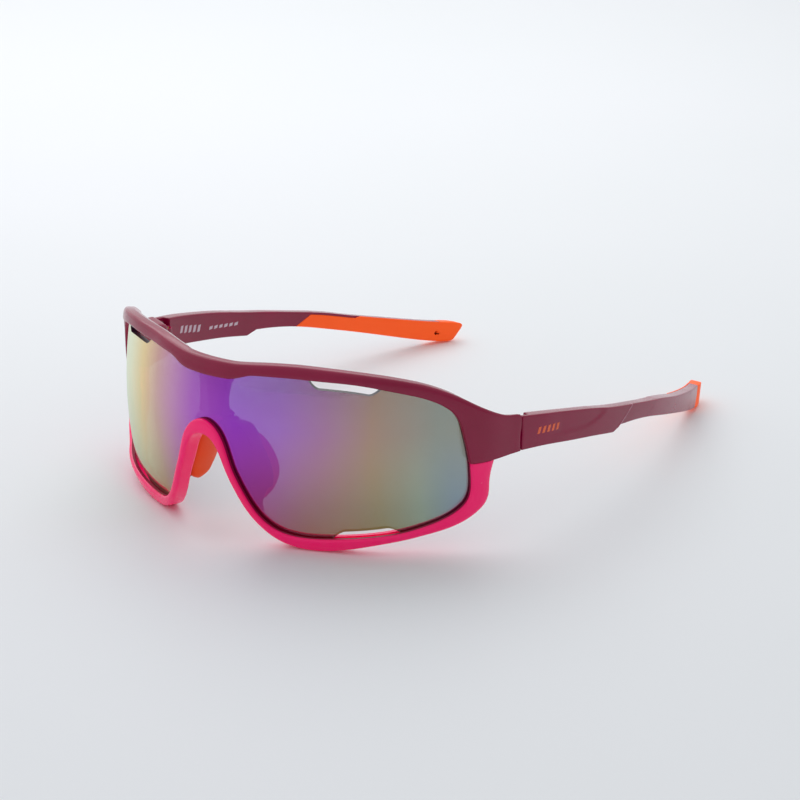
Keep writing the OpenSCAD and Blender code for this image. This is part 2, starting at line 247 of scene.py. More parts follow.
class Nodes:
    """Short ways to add shader nodes to a new material."""

    def __init__(self, name):
        self.mat = bpy.data.materials.new(name)
        self.mat.use_nodes = True
        self.t = self.mat.node_tree
        self.t.nodes.clear()

    def new(self, kind, **inputs):
        """Adds a node: _key sets a property, i0 an input by number, any other key an input by name."""
        n = self.t.nodes.new(kind)
        for key, val in inputs.items():
            if key.startswith("_"):
                setattr(n, key[1:], val)
                continue
            numbered = key[0] == "i" and key[1:].isdigit()
            sock = n.inputs[int(key[1:]) if numbered else key.replace("_", " ")]
            if isinstance(val, bpy.types.NodeSocket):
                self.t.links.new(val, sock)
            else:
                sock.default_value = val
        return n

    def math(self, op, a, b):
        return self.new("ShaderNodeMath", _operation=op, i0=a, i1=b).outputs[0]

    def blend(self, fac, a, b):
        return self.new("ShaderNodeMix", _data_type="RGBA", i0=fac, i6=a, i7=b).outputs[2]

    def ramp(self, fac, stops):
        n = self.new("ShaderNodeValToRGB", i0=fac)
        els = n.color_ramp.elements
        while len(els) < len(stops):
            els.new(0.5)
        for e, (pos, col) in zip(els, stops):
            e.position = pos
            e.color = srgb(*col)
        return n.outputs[0]

    def coords(self):
        return self.new("ShaderNodeTexCoord").outputs["Object"]

    def noise(self, scale, detail=3.0, rough=0.55):
        return self.new("ShaderNodeTexNoise", Vector=self.coords(), Scale=scale, Detail=detail,
                        Roughness=rough).outputs[0]

    def remap(self, val, a, b, c, d):
        return self.new("ShaderNodeMapRange", i0=val, i1=a, i2=b, i3=c, i4=d).outputs[0]

    def out(self, shader):
        self.new("ShaderNodeOutputMaterial", Surface=shader)
        return self.mat


def plastic(name, base, dark, rough=0.35, grain=900.0, bump=0.06, spec=0.5, painted_glow=0.0, metal=0.0):
    """Moulded plastic or turned metal: slow colour drift, fine grain in the gloss, faint rubbed spots; an
    optional emission in the base colour brightens it as painted light.
    """
    base, dark = srgb(*base), srgb(*dark)
    n = Nodes(name)
    drift = n.noise(45.0, 3.0)
    col = n.blend(n.remap(drift, 0.35, 0.65, 0.0, 1.0), base, dark)
    fine = n.noise(grain, 2.0)
    smear = n.noise(120.0, 4.0, 0.6)
    r = n.math("ADD", n.remap(fine, 0.3, 0.7, rough - 0.04, rough + 0.04),
               n.remap(smear, 0.4, 0.7, -0.03, 0.05))
    finer = n.math("MULTIPLY", n.noise(grain * 3.1, 1.0), 0.3)
    height = n.math("ADD", n.math("MULTIPLY", fine, 0.5), finer)
    b = n.new("ShaderNodeBump", Strength=bump, Distance=0.0001, Height=height).outputs[0]
    p = n.new("ShaderNodeBsdfPrincipled", Base_Color=col, Roughness=r, Normal=b, Specular_IOR_Level=spec,
              Metallic=metal)
    if painted_glow:
        n.t.links.new(col, p.inputs["Emission Color"])
        p.inputs["Emission Strength"].default_value = painted_glow
    return n.out(p.outputs[0])


RUBBER = {"rough": 0.5, "grain": 1400.0, "bump": 0.1, "spec": 0.2}
BURGUNDY = plastic("burgundy_gloss", (146, 4, 60), (138, 3, 54), rough=0.16, bump=0.02, spec=0.45)
# pale mauve on the edge of the groove across the temple's outside: a painted highlight of the bevel
GROOVE_HIGHLIGHT = plastic("burgundy_groove_painted_highlight", (214, 140, 168), (206, 132, 160), rough=0.25, bump=0.03)
# the pink's emission is painted light that brightens it
PINK = plastic("pink_gloss", (255, 12, 112), (252, 8, 104), rough=0.2, bump=0.02, spec=0.45, painted_glow=0.11)
# darker copy of the pink on the wall between the opening edge and the lens: painted shade in that recess
WALL_SHADE = plastic("inner_wall_painted_shade", (160, 6, 62), (150, 4, 54), rough=0.4, spec=0.2)
CARRIER = plastic("carrier_satin", (70, 8, 34), (60, 6, 28), rough=0.4, spec=0.3)
# the orange rubber's emission is painted light that brightens it
ORANGE = plastic("orange_rubber", (255, 96, 34), (252, 90, 30), painted_glow=0.24, **RUBBER)
SOFT_PAD = plastic("orange_nose_pad", (255, 96, 34), (252, 90, 30), **RUBBER)
# dark orange inside the cord hole: painted shade in the recess
HOLE_SHADE = plastic("orange_hole_painted_shade", (120, 36, 14), (106, 30, 12), rough=0.6, spec=0.1)
STEEL = plastic("screw_steel", (190, 192, 196), (170, 172, 178), rough=0.3, metal=1.0)
BRASS = plastic("insert_brass", (200, 165, 95), (185, 150, 84), rough=0.32, metal=1.0)
MARK = plastic("orange_print", (240, 104, 60), (232, 98, 54), rough=0.5)
MARK_PALE = plastic("pale_print", (225, 200, 212), (214, 190, 204), rough=0.5)


# mirror coat colours across the lens from the wearer's right to the left, above and below; they hold the
# coat's tint and painted reflection, and the pale near-white stops at the wearer's right are a painted
# reflection of bright surroundings
COAT_AND_REFLECTION_HIGH = [(0.02, (222, 230, 208)), (0.10, (230, 236, 220)), (0.17, (232, 234, 206)),
             (0.24, (234, 210, 160)), (0.31, (205, 162, 154)), (0.38, (194, 134, 174)),
             (0.46, (174, 84, 188)), (0.58, (158, 66, 196)), (0.68, (160, 76, 184)),
             (0.77, (165, 90, 144)), (0.86, (166, 117, 86)), (0.96, (138, 130, 112))]
COAT_AND_REFLECTION_LOW = [(0.02, (204, 210, 188)), (0.10, (212, 226, 210)), (0.22, (198, 204, 172)),
            (0.32, (186, 168, 134)), (0.42, (174, 106, 144)), (0.54, (160, 66, 138)),
            (0.66, (168, 60, 104)), (0.73, (174, 100, 74)), (0.80, (172, 120, 58)),
            (0.87, (160, 138, 64)), (0.93, (150, 165, 132)), (0.98, (124, 142, 160))]


def lens_coat_and_reflection():
    """Mirror coat with painted reflection: its colour drifts from pale green and gold through rose and violet
    to olive and teal.
    """
    n = Nodes("lens_mirror_coat_and_reflection")
    xyz = n.new("ShaderNodeSeparateXYZ", Vector=n.coords()).outputs
    x = n.remap(xyz[0], -0.060, 0.060, 0.0, 1.0)
    wob = n.math("MULTIPLY", n.math("SUBTRACT", n.noise(14.0, 1.0), 0.5), 0.04)
    x = n.math("ADD", x, wob)
    high = n.ramp(x, COAT_AND_REFLECTION_HIGH)
    low = n.ramp(x, COAT_AND_REFLECTION_LOW)
    col = n.blend(n.remap(xyz[2], 0.006, 0.034, 0.0, 1.0), low, high)
    speck = n.noise(260.0, 3.0)
    rough = n.remap(speck, 0.4, 0.8, 0.07, 0.12)
    mirror = n.new("ShaderNodeBsdfGlossy", Color=col, Roughness=rough).outputs[0]
    tint = n.new("ShaderNodeBsdfTransparent", Color=(0.09, 0.14, 0.15, 1.0)).outputs[0]
    front = n.new("ShaderNodeAddShader", i0=mirror, i1=tint).outputs[0]
    inner = n.new("ShaderNodeBsdfTransparent", Color=(0.20, 0.17, 0.19, 1.0)).outputs[0]
    sheen = n.new("ShaderNodeBsdfGlossy", Color=(0.35, 0.30, 0.36, 1.0), Roughness=0.08).outputs[0]
    back = n.new("ShaderNodeMixShader", i0=0.12, i1=inner, i2=sheen).outputs[0]
    side = n.new("ShaderNodeNewGeometry").outputs["Backfacing"]
    return n.out(n.new("ShaderNodeMixShader", i0=side, i1=front, i2=back).outputs[0])


def lens_back():
    """Uncoated inner side: almost clear, a faint gloss."""
    n = Nodes("lens_inner_side")
    clear = n.new("ShaderNodeBsdfTransparent", Color=(0.96, 0.95, 0.96, 1.0)).outputs[0]
    gloss = n.new("ShaderNodeBsdfGlossy", Color=(1, 1, 1, 1), Roughness=0.06).outputs[0]
    fac = n.math("MULTIPLY", n.new("ShaderNodeFresnel", IOR=1.45).outputs[0], 0.6)
    return n.out(n.new("ShaderNodeMixShader", i0=fac, i1=clear, i2=gloss).outputs[0])


LENS_COAT_AND_REFLECTION, LENS_BACK = lens_coat_and_reflection(), lens_back()
LENS_EDGE = plastic("lens_edge", (60, 30, 55), (50, 26, 48), rough=0.3)


# ---------------------------------------------------------------- front pieces
# brow rows: opening u, z, outer u, z, depth of the outer face
BROW = [
    (0, 46.0, 0, 50.4, 2.6), (5.5, 46.1, 5.5, 50.43, 2.6), (8.6, 46.4, 8.6, 50.5, 2.6),
    (11, 47.15, 11, 50.7, 2.6), (13.2, 47.85, 13.2, 50.9, 2.6), (16, 48.15, 16, 51.15, 2.6),
    (21.4, 48.3, 21.4, 51.4, 2.6), (30.6, 48.2, 30.6, 51.3, 2.6), (38.5, 47.7, 38.7, 50.6, 2.7),
    (45.5, 45.7, 46.2, 48.8, 2.8), (50.1, 43.5, 51.7, 46, 3), (53.2, 40.6, 55.9, 42.3, 3.4),
    (54.8, 37.3, 58.7, 38.8, 4), (55.4, 34.3, 61.2, 36.2, 5), (55.8, 31.4, 62.9, 34.9, 6),
    (56.1, 28.9, 62.9, 30.6, 6.6), (56.45, 25.2, 62.9, 25.2, 6.8)]
# rim rows: opening u, z, width, depth
RIM = [
    (56.45, 25, 2.9, 5.4), (56.5, 19.3, 2.2, 5.2), (55.6, 13.8, 2.5, 5.1), (53, 10.2, 2.6, 5),
    (48.7, 7.4, 2.2, 5), (42, 5.5, 2.3, 5), (34.5, 4.3, 3.3, 5), (27.5, 3.6, 3.6, 5.2),
    (22, 4.3, 3, 5.1), (18, 6.5, 2.2, 4.9), (14.7, 10.4, 2, 4.7), (11.6, 16.4, 2, 4.8),
    (9.2, 21.8, 2, 5.2), (7.4, 27.2, 2.4, 5.6), (4.9, 31.6, 3.3, 6.2), (2.2, 33.6, 4, 6.6),
    (0, 34.1, 4.2, 6.6)]
HIDE = 0.9                                # how far the lens edge reaches into the frame
GROOVE = 1.1                              # how far the lens groove does
GROOVE_FRONT, GROOVE_BACK = 1.7, 3.5      # depths of the groove's two walls
BACK_LIP = 0.3                            # the back of a bar stands this far off the opening
TUCK = 1.6                                # how far the top of the brow's ends falls to the inside


def bar_steps(front):
    """Extra points along each edge of a bar's outline."""
    return [front, 3, 2, 2, 0, 0, 0, 0, 2]


def bar(inner, out, width, outer, back, slant, crown, radii, front):
    """Ring of a grooved bar: inner point, outward direction, width, depth of the outer face and of the back.

    The back is flat up to slant of the width, and the front face is crowned.
    """
    poly = np.array([
        (0, 0), (width, 0), (width, outer), (slant * width, back), (BACK_LIP, back), (BACK_LIP, GROOVE_BACK),
        (GROOVE, GROOVE_BACK), (GROOVE, GROOVE_FRONT), (0, GROOVE_FRONT)])
    p = soften(poly, radii, bar_steps(front))
    a, d = p[:, 0], p[:, 1]
    on_front = np.clip(1 - d / 0.9, 0, 1)
    d = d - crown * on_front * (1 - (2 * a / width - 1) ** 2)
    u, z = inner[0] + out[0] * a, inner[1] + out[1] * a
    at_end = ease((np.abs(u) - 53) / 5) * np.clip((z - 31) / 4, 0, 1)
    return pt(u, z - TUCK * at_end * np.clip(d / 6, 0, 1), d)


def wall_columns(radii, front):
    """Material of each column of a bar: the wall between the opening edge and the lens is 1, the darker pink
    of painted shade.
    """
    counts = [(ARC if r > 0 else 1) + n for r, n in zip(radii, bar_steps(front))]
    return [0] * (sum(counts) - counts[-1]) + [1] * counts[-1]


def brow_frame():
    b = Build()
    radii = [0.6, 0.8, 0.6, 0.5, 0.3, 0, 0, 0, 0.1]
    rings = []
    for r in spline(both(BROW, [0, 2]), 0.7):
        v = r[2:4] - r[:2]
        w = float(np.linalg.norm(v))
        rings.append(bar(r[:2], v / w, w, r[4], max(4.8, r[4] + 0.02), 0.6, 0.12, radii, 10))
    b.loft(rings, [wall_columns(radii, 10)] * len(rings))
    half = Build()
    half.knuckle(SCREW_R, KNUCKLES[0], KNUCKLES[1])
    half.knuckle(INSERT_R, KNUCKLES[2], KNUCKLES[3])
    b.add(half)
    b.add(half.mirrored())
    return b.make("brow_frame_shell", [BURGUNDY, WALL_SHADE])


def rim_path():
    """Opening edge of the rim from the wearer's left to the right: u, z, width, depth."""
    return spline(np.concatenate([RIM, np.array(RIM[-2::-1]) * (-1, 1, 1, 1)]), 0.6)


def rim_edge(path):
    """Outward direction, across and up, at each point of the rim's path."""
    t = np.gradient(path[:, :2], axis=0)
    t /= np.linalg.norm(t, axis=1)[:, None]
    return np.stack([-t[:, 1], t[:, 0]], 1)


def lower_rim():
    b = Build()
    radii = [0.8, 0.9, 0.8, 0.6, 0.4, 0, 0, 0, 0.1]
    path = rim_path()
    rings = [bar(r[:2], out, r[2], r[3] - 0.6, r[3], 0.8, 0.1, radii, 8)
             for r, out in zip(path, rim_edge(path))]
    b.loft(rings, [wall_columns(radii, 8)] * len(rings))
    return b.make("lower_rim_shell", [PINK, WALL_SHADE])


VENT_TOP, VENT_LOW = (27.0, 43.2, 2.6), (32.2, 46.2, 1.9)      # notches: across from and to, depth
LENS_END, LENS_COLS, LENS_ROWS = 57.25, 190, 46


def notch(us, vent):
    """How far a vent notch cuts into the lens at each u."""
    a = np.abs(us)
    ends = ease((a - vent[0]) / 3.6) * ease((vent[1] - a) / 2.8)
    return np.sqrt(np.clip(ends, 0, 1)) * (vent[2] + HIDE)


def lens_edges(us):
    """Heights of the lens's lower and upper edge at each u."""
    brow = spline(BROW, 0.5)
    v = brow[:, 2:4] - brow[:, :2]
    up = brow[:, :2] + v / np.linalg.norm(v, axis=1)[:, None] * HIDE
    rim = rim_path()
    low = rim[:, :2] + rim_edge(rim) * HIDE
    low = low[low[:, 0] > -0.01][::-1]
    low, up = (np.interp(np.abs(us), np.maximum.accumulate(e[:, 0]), e[:, 1]) for e in (low, up))
    return low + notch(us, VENT_LOW), up - notch(us, VENT_TOP)


def lens():
    half = LENS_END * (1 - (1 - np.linspace(0, 1, LENS_COLS)) ** 1.5)
    us = np.concatenate([-half[:0:-1], half])
    low, up = lens_edges(us)
    # rows crowd towards both edges
    c = np.cos(math.pi * np.linspace(0, 1, LENS_ROWS))
    t = 0.5 - 0.5 * c * (0.35 + 0.65 * np.abs(c) ** 0.2)
    t[0], t[-1] = 0, 1
    z = low[:, None] + (up - low)[:, None] * t
    u = np.repeat(us[:, None], LENS_ROWS, 1)
    verts = np.concatenate([pt(u, z, d).reshape(-1, 3) for d in (LENS_SET, LENS_SET + LENS_T)])
    back = len(us) * LENS_ROWS
    faces, mats = [], []

    def quad(mat, *corners):
        faces.append(corners)
        mats.append(mat)

    for i in range(len(us) - 1):
        for j in range(LENS_ROWS):
            a = i * LENS_ROWS + j
            b = a + LENS_ROWS
            if j < LENS_ROWS - 1:
                quad(0, a, b, b + 1, a + 1)
                quad(1, back + a, back + a + 1, back + b + 1, back + b)
            if j in (0, LENS_ROWS - 1):
                quad(2, a, back + a, back + b, b)
    for i in (0, len(us) - 1):
        for j in range(LENS_ROWS - 1):
            a = i * LENS_ROWS + j
            quad(2, a, a + 1, back + a + 1, back + a)
    return new_object("lens_shell", verts, faces, [LENS_COAT_AND_REFLECTION, LENS_BACK, LENS_EDGE], mats, sharp=50)


# ---------------------------------------------------------------- nose pieces
# post rows: z, half width, front and back depth
POST = [(47.6, 6.6, 4.9, 6.6), (45.9, 6.5, 4.9, 6.8), (45.3, 6.2, 3.6, 6.8), (43, 5.1, 3.6, 6.4),
        (39, 4.5, 3.6, 6.4), (36, 4.5, 3.6, 7), (34.7, 4.8, 3.6, 8.6), (34.25, 4.9, 7, 9),
        (30.8, 4.4, 7.2, 9)]
# arm rows: x, y and z of its middle, half thickness, half width front to back
ARM = [(3.4, 5, 32.4, 0.8, 1.4), (6.4, 5.9, 31.8, 0.8, 1.8), (9, 7, 29.4, 0.7, 2.2), (9.8, 7.8, 26, 0.6, 2.2)]
# pad rows: z, front edge x and y, back edge x and y, thickness
PAD = [(11.3, 11.8, 8, 11.7, 9.4, 0.5), (12, 11.9, 6.6, 11.7, 11.2, 1.2), (14, 11.7, 5.2, 11.8, 13.6, 1.9),
       (16, 11.1, 4.6, 11.7, 14.8, 2.2), (18, 10.4, 4.2, 11.4, 15.2, 2.4), (20, 9.7, 4, 11.1, 15, 2.4),
       (22, 9, 3.9, 10.8, 14.2, 2.3), (24, 8.4, 3.9, 10.3, 13.4, 2.1), (26, 7.9, 4, 9.6, 12.4, 1.8),
       (28, 7.3, 4.8, 8.6, 10.9, 1.4), (29.4, 6.95, 6.4, 7.45, 9.2, 0.5)]
# web rows: z, u at the rim's nose leg, then x and y at the pad
WEB = [(9.6, 15.4, 14.4, 4.6), (11.6, 14.1, 12.7, 6), (14, 12.8, 12, 8.6), (18, 10.9, 11, 9.4),
       (22, 9.1, 10.2, 9), (26, 7.8, 9.2, 8.4), (28, 6.9, 8.2, 7.6), (30, 5.9, 6.8, 7),
       (32, 4.6, 5.2, 6.6), (33.4, 3.2, 4, 6.4)]


def pad_rows(z0, z1, n):
    """Pad rows that crowd towards both ends: z, middle x and y, half chord x and y, thickness."""
    r = np.asarray(PAD, float)
    rows = np.stack([r[:, 0], 0 * r[:, 0], (r[:, 1] + r[:, 3]) / 2, (r[:, 2] + r[:, 4]) / 2,
                     (r[:, 3] - r[:, 1]) / 2, (r[:, 4] - r[:, 2]) / 2, r[:, 5]], 1)
    fine = spline(rows, 0.2)
    z = z0 + (z1 - z0) * (0.5 - 0.5 * np.cos(math.pi * np.linspace(0, 1, n)))
    return [(q, *(np.interp(q, fine[:, 0], fine[:, c]) for c in range(2, 7))) for q in z]


def pad_point(row, w, h):
    """Points of a pad row: w from -1 at the front edge to 1 at the back edge, h towards the nose gap."""
    z, mx, my, cx, cy, _ = row
    n = np.array([-cy, cx]) / math.hypot(cx, cy)
    w, h = np.asarray(w, float), np.asarray(h, float)
    return np.stack([mx + cx * w + n[0] * h, ORIGIN_Y + my + cy * w + n[1] * h, z + 0 * w], -1)


def nose_post(b):
    """Post behind the middle of the lens."""
    rows = np.asarray(POST)[::-1]
    rings = []
    for z in np.linspace(rows[0, 0], rows[-1, 0], 90):
        w, front, back = (np.interp(z, rows[:, 0], rows[:, c]) for c in (1, 2, 3))
        corners = np.array([(-w, back), (-w, front), (w, front), (w, back)])
        p = soften(corners, [0.4, 0.8, 0.8, 0.4], [1, 5, 1, 3])
        rings.append(pt(p[:, 0], z, p[:, 1]))
    b.loft(rings)


def pad_arm(b):
    """Flat arm from the post to the pad."""
    path = spline(ARM, 0.3)
    turn = np.radians(np.arange(0, 360, 15))[:, None]
    rings = []
    for r, t in zip(path, np.gradient(path[:, :3], axis=0)):
        v = np.cross(t, (0, 1, 0))
        v /= np.linalg.norm(v)
        middle = r[:3] + (0, ORIGIN_Y, 0)
        rings.append(middle + v * (r[3] * np.cos(turn)) + np.array((0, 1, 0)) * (r[4] * np.sin(turn)))
    b.loft(rings)


def pad_plate(b):
    """Stiff plate behind the soft pad."""
    corners = np.array([(-0.6, -0.15), (0.5, -0.15), (0.4, -0.9), (-0.5, -0.9)])
    p = soften(corners * (4, 1), [0.1, 0.1, 0.4, 0.4], [3, 1, 3, 1]) / (4, 1)
    b.loft([pad_point(row, p[:, 0], p[:, 1]) for row in pad_rows(14.0, 28.0, 40)])


def nose_web(b):
    """Thin web between the rim's nose leg and the pad."""
    rings = []
    for z, u, x, y in spline(WEB, 0.5):
        at_pad = [(x + 0.7, ORIGIN_Y + y, z), (x, ORIGIN_Y + y, z)]
        rings.append(np.concatenate([pt([u + 0.15, u + 0.9], z, 3.55), at_pad]))
    b.loft(rings)


def nose_carrier():
    b = Build()
    nose_post(b)
    side = Build()
    pad_arm(side)
    pad_plate(side)
    nose_web(side)
    b.add(side)
    b.add(side.mirrored())
    return b.make("nose_carrier_shell", [CARRIER])


def nose_pad():
    b = Build()
    a = np.radians(np.arange(0, 181, 9))
    w = np.concatenate([-np.cos(a), [0.6, 0.2, -0.2, -0.6]])
    bow = np.concatenate([np.sin(a) ** 0.7, [0, 0, 0, 0]])
    b.loft([pad_point(row, w, row[5] * bow) for row in pad_rows(11.3, 29.4, 56)])
    return b


# ---------------------------------------------------------------- temples
# side rows: distance behind the seam, lower and upper height
SIDE = np.array([
    (0.1, 25.2, 34.9), (10, 24.2, 33.2), (20, 22.6, 31.2), (30, 20.9, 29), (40.8, 18.7, 26.3),
    (44.8, 19.7, 25.4), (51, 18.8, 24), (62, 16.6, 21.4), (74, 13.2, 18.5), (85, 9.9, 15.3),
    (100, 5.2, 11.3), (112.5, 1.6, 8.2), (121, 0.1, 6.5), (125, 0, 5.8)])
STEP_ROW = 5                                       # row where the lower edge has stepped up
THICK, GRIP = 3.6, 1.8                             # of a temple, and of the soft grip inside it
PANEL_START, PANEL_END = 65.0, 114.0               # where the outside is a thin panel over the grip
STRIP = 0.86                                       # the panel covers the grip above this much of the height
TOP_SWAP, TOP_LINE = 80.0, 0.4                     # from here the grip shows along the top edge, this wide
GROOVE_FOOT, GROOVE_LEAN = (44.6, 19.9), 1.9       # groove across the outside: its foot, and y for each z


def lean(s):
    """How far the cross-sections lean back for each mm of height: along the groove, then less."""
    at_groove = GROOVE_LEAN * ease((s - 37) / 9) * (1 - 0.22 * ease((s - 50) / 10))
    return at_groove * (1 - ease((s - 74) / 20)) + 0.7 * ease((s - 90) / 14)


def temple_x(s):
    """Where the outer face is across, at s behind the seam."""
    return 66.1 + 0.156 * s - 0.00252 * s * s - 0.2 * (1 - ease(s / 15))


def side_curves():
    """Lower and upper edge of the temple as fine curves; the lower one breaks at its step."""
    low = np.concatenate([spline(part, 0.4) for part in (SIDE[:STEP_ROW, :2], SIDE[STEP_ROW:, :2])])
    return low, spline(np.delete(SIDE, STEP_ROW, 0)[:, [0, 2]], 0.4)


SIDE_LOW, SIDE_TOP = side_curves()


def side_low(s):
    return np.interp(s, SIDE_LOW[:, 0], SIDE_LOW[:, 1])


def side_top(s):
    return np.interp(s, SIDE_TOP[:, 0], SIDE_TOP[:, 1])


def side_height(s):
    return float(side_top(s) - side_low(s))


# crease on the outside: behind the seam, and height
CREASE = spline([(8, 27.4), (13.2, 26.5), (21.9, 25.3), (27.6, 24.9), (32.4, 25.5), (37.5, 26.7)], 0.5)


def past_groove(y, z):
    """How far points on the outside are past the groove's line."""
    return (y - GROOVE_FOOT[0] - GROOVE_LEAN * (z - GROOVE_FOOT[1])) / math.hypot(1, GROOVE_LEAN)


def relief(y, z):
    """How far the outer face sinks: above the crease, and past the ridge along the groove's line."""
    over = (z - np.interp(y, CREASE[:, 0], CREASE[:, 1])) / 0.8
    sink = 0.28 * ease(over * 0.5 + 0.5) * ease((y - 9) / 8) * (1 - ease((y - 33) / 5))
    q = past_groove(y, z)
    ridge = 0.07 * np.exp(-(q / 0.3) ** 2)
    step = 0.16 * ease(q / 0.3 + 0.5) * (1 - ease((y - 56) / 14))
    return sink - ridge + step


def temple_pt(s, across, t, carved=True):
    """Points of the temple: s behind the seam, across from the outer face, t of the height."""
    across, t = np.broadcast_arrays(np.asarray(across, float), np.asarray(t, float))
    reach = float(lean(s)) * side_height(s) / 2
    y = s + reach * (2 * t - 1)
    z = mix(side_low(s - reach), side_top(s + reach), t)
    if carved:
        across = across + relief(y, z) * np.clip(1 - across / 1.2, 0, 1)
    return np.stack([temple_x(y) - across, ORIGIN_Y + SEAM_Y + y, np.maximum(0, z)], -1)


def ring_outline(corners, h, radii, steps, crown=0.10):
    """Rounded outline in across and height fraction, with the outer face slightly crowned."""
    p = soften(np.array(corners, float) * (1, h), radii, steps) / (1, h)
    p[:, 0] -= crown * np.sin(math.pi * np.clip(p[:, 1], 0, 1)) * (p[:, 0] < 0.6)
    return p


def temple_arm(b):
    """Stiff arm from the seam to the panel, thinner where it passes the hinge."""
    stations = np.concatenate([
        np.linspace(0.06, 0.5, 4), np.linspace(0.9, 3.2, 5), np.linspace(3.3, 4.4, 7),
        np.linspace(5, 40, 70), np.linspace(40.2, 46.8, 30), np.linspace(46.9, 49.6, 46),
        np.linspace(49.8, PANEL_START - 0.05, 26)])
    rings, mats = [], []
    for s in stations:
        t = mix(1.5, THICK, float(ease((s - 3.3) / 1.1)))
        h = side_height(s)
        end = 0.12 * (1 - float(ease((s - 0.06) / 0.35)))      # softened end at the seam
        p = ring_outline([(end, end / h), (end, 1 - end / h), (t, 1 - end / h), (t, end / h)], h,
                         [0.45, 0.45, 0.6, 0.5], [22, 3, 9, 3])
        ring = temple_pt(s, p[:, 0], p[:, 1])
        q = past_groove(ring[:, 1] - ORIGIN_Y - SEAM_Y, ring[:, 2])
        rings.append(ring)
        # columns along the groove's line take the pale painted-highlight material
        mats.append([int(abs(a) < 0.22 and across < 1.0) for a, across in zip(q, p[:, 0])])
    b.loft(rings, mats)


def temple_panel(b):
    """Thin outer panel over the soft grip."""
    inside = THICK - GRIP - 0.06
    rings = []
    for s in np.linspace(PANEL_START + 0.05, PANEL_END, 110):
        top_end = THICK - TOP_LINE * float(ease((s - TOP_SWAP) / 3.0))
        p = ring_outline([(0, 0), (0, 1), (top_end, 1), (top_end, STRIP), (inside, STRIP), (inside, 0)],
                         side_height(s), [0.45, 0.45, 0.3, 0.1, 0, 0.1], [18, 3, 1, 1, 2, 1])
        rings.append(temple_pt(s, p[:, 0], p[:, 1]))
    b.loft(rings)


def temple():
    b = Build()
    temple_arm(b)
    temple_panel(b)
    z0, z1 = KNUCKLES[1] + 0.1, KNUCKLES[2] - 0.1
    b.knuckle(SCREW_R, z0, z1)
    # tongue from the knuckle into the arm
    x0, x1, y0, y1 = HINGE[0] + 1.3, 65.2, HINGE[1] - 1.1, HINGE[1] + 1.6
    b.loft([[(x0, y0, z), (x1, y0, z), (x1, y1, z), (x0, y1, z)] for z in (z0 + 0.2, z1 - 0.2)])
    return b


CORD_HOLE = (114.5, 4.0, 0.6)      # on the inner side: behind the seam, height, radius
CORD_HOLE_DEPTH = 1.5
# rounded end of the soft tip: behind the seam, and how much of the section is left
TIP_END = [(116, 1.0), (117, 1.0), (118.2, 1.0), (119.4, 0.98), (120.8, 0.95), (121.7, 0.88),
           (122.3, 0.77), (122.7, 0.6), (122.8, 0.4)]
GRIP_STEPS = [2, 2, 1, 1, 30, 3]


def grip_outline(s):
    """Section of the grip behind the panel; a thin line of it rises to the top edge."""
    low, line = STRIP - 0.025, THICK - TOP_LINE + 0.04
    high = mix(low + 0.004, 1.0, float(ease((s - TOP_SWAP - 3.0) / 3.0)))
    corners = [(THICK - GRIP, 0), (THICK - GRIP, low), (line, low), (line, high), (THICK, high), (THICK, 0)]
    return ring_outline(corners, side_height(s), [0.1, 0.1, 0, 0.05, 0.3, 0.45], GRIP_STEPS, crown=0)


def tip_outline(s, left):
    """Section of the soft tip past the panel."""
    m = 0.5 * (1 - left)
    outer = 0.08 - 0.4 * float(ease((s - PANEL_END - 0.3) / 2)) + (THICK - 0.1) * m
    inner = THICK * (1 - m)
    line = mix(outer, inner, 0.6)
    low, high = 0.5 * m, 1 - 1.5 * m
    corners = [(outer, low), (outer, high), (line, high), (line + 0.1, high), (inner, high), (inner, low)]
    return ring_outline(corners, side_height(s), [0.25, 0.25, 0, 0.02, 0.4, 0.45], GRIP_STEPS, crown=0)


def cord_hole(ring):
    """Sinks the inner face where the hole for a neck cord is, and gives each column's material: the darker
    orange of painted shade inside the hole.
    """
    y, z = ring[:, 1] - ORIGIN_Y - SEAM_Y, ring[:, 2]
    d = np.hypot(y - CORD_HOLE[0], z - CORD_HOLE[1])
    inner = np.clip((temple_x(y) - ring[:, 0] - 2.4) / 0.6, 0, 1)
    sink = inner * (1 - ease((d - CORD_HOLE[2]) / 0.2 + 0.5))
    ring[:, 0] += CORD_HOLE_DEPTH * sink
    return ring, [int(k > 0.5) for k in sink]


def grip():
    b = Build()
    behind = np.concatenate([np.linspace(PANEL_START + 0.25, PANEL_END - 0.6, 106),
                             np.linspace(PANEL_END - 0.45, PANEL_END + 0.1, 5)])
    past = [(s, 1.0) for s in np.linspace(PANEL_END + 0.22, PANEL_END + 1.42, 11)] + TIP_END
    sections = [(s, grip_outline(s), True) for s in behind] + [(s, tip_outline(s, k), False) for s, k in past]
    rings, mats = [], []
    for s, p, carved in sections:
        ring, columns = cord_hole(temple_pt(s, p[:, 0], p[:, 1], carved))
        rings.append(ring)
        mats.append(columns)
    b.loft(rings, mats)
    return b


# printed bars: start behind the seam, width, low and high z
OUTER_BARS = [(5.6 + 1.9 * k, 1.0, 28.4 - 0.2 * k, 30.2 - 0.2 * k) for k in range(5)]
INNER_BARS = [(9.4 + 2.1 * k, 1.2, 28.0 - 0.5 * k, 30.0 - 0.5 * k) for k in range(5)] \
    + [(23.5 + 2.3 * k, 1.5, 25.2 - 0.35 * k, 26.1 - 0.35 * k) for k in range(6)]
BAR_SLANT = 0.35
BAR_LIFT = np.array([0.03, 0.03, 0.03, -0.05, -0.05, -0.05])      # face above the surface, back under it


